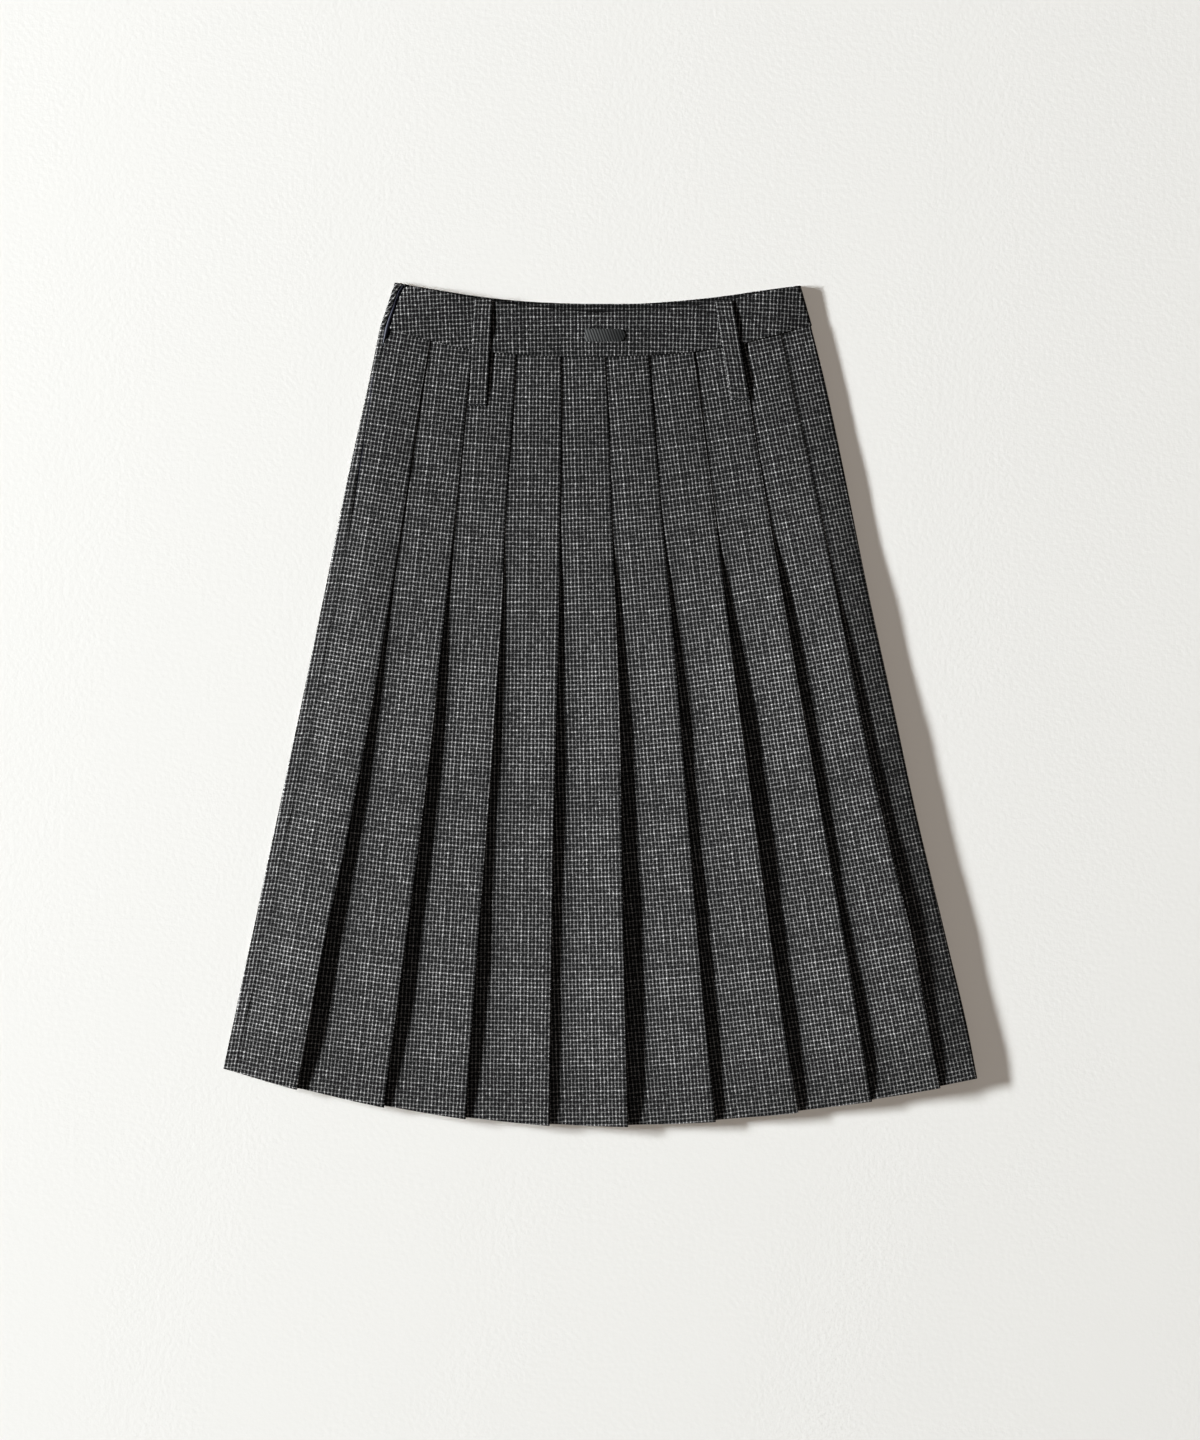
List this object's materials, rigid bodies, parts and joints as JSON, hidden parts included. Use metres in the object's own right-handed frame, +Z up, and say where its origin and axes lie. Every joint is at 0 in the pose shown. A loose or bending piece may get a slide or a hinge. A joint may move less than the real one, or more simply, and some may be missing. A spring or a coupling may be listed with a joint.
{
  "type": "pleated midi skirt",
  "caption": "Knife-pleated midi skirt with curved waistband, long belt loops and a concealed side zip, lying flat on its back, in dark grey small-check wool cloth.",
  "frame": {"origin": "centre of the garment's outline on the surface it lies on", "axes": "+Z up from the surface through the front of the skirt, +Y from hem to waist, +X to the viewer's right when the front is looked at"},
  "size_m": [0.6444, 0.7206, 0.0133],
  "materials": {
    "checked_wool": "matt woven wool, charcoal with a light grey grid",
    "tab_cloth": "dark ribbed woven tape",
    "zip_satin": "smooth dark zip tape"
  },
  "bodies": {
    "root": {"skirt_front": "checked_wool", "skirt_back": "checked_wool", "waistband_front": "checked_wool", "waistband_back": "checked_wool", "belt_loop_left": "checked_wool", "belt_loop_right": "checked_wool", "waist_tab": "tab_cloth", "zip_tape": "zip_satin"}
  },
  "joints": []
}
